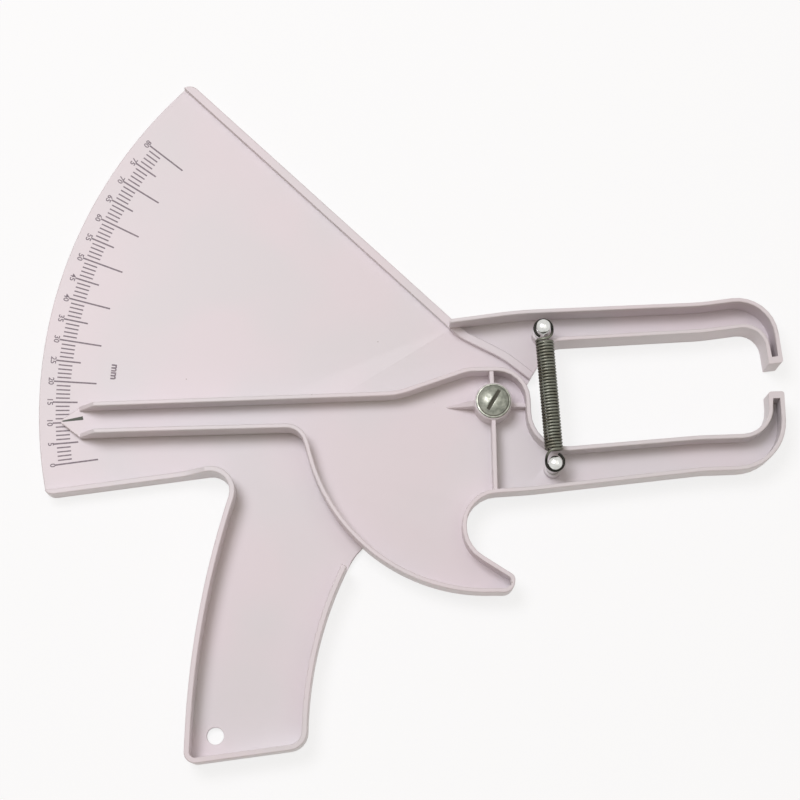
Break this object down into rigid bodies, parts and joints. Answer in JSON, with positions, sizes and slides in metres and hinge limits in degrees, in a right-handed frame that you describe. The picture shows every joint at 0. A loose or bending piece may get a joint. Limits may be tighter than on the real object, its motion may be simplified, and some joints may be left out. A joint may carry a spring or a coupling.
{
  "type": "skinfold caliper",
  "caption": "Pistol-grip skinfold caliper: moulded body with scale sector and handle, sprung lever with pointer, finger hook and jaw.",
  "frame": {"origin": "the pivot axis where it meets the flat back of the body", "axes": "+Z out of the front, along the pivot axis; +X from the pivot along the zero line of the scale to where the jaws meet; +Y towards the upper arm"},
  "size_m": [0.274, 0.2514, 0.0222],
  "materials": {
    "moulding": "satin pinkish white",
    "nylon": "natural nylon",
    "brass": "turned",
    "screw_steel": "zinc plated",
    "spring_steel": "drawn wire, oiled",
    "post_steel": "polished"
  },
  "bodies": {
    "body": {"body": "moulding", "thrust_washer": "nylon", "pivot_insert": "brass", "pivot_washer": "screw_steel", "pivot_screw": "screw_steel", "spring": "spring_steel", "upper_post": "post_steel", "upper_post_clip": "screw_steel"},
    "lever": {"lever": "moulding", "lower_post": "post_steel", "lower_post_clip": "screw_steel"}
  },
  "joints": [
    {"name": "lever_pivot", "type": "hinge", "parent": "body", "child": "lever", "pos_m": [0, 0, 0.009], "axis": [0, 0, 1], "range_deg": [-40.13, 5.56], "stiffness_Nm_per_rad": 0.1, "springref_deg": 5.56, "deforming": ["spring"]}
  ]
}
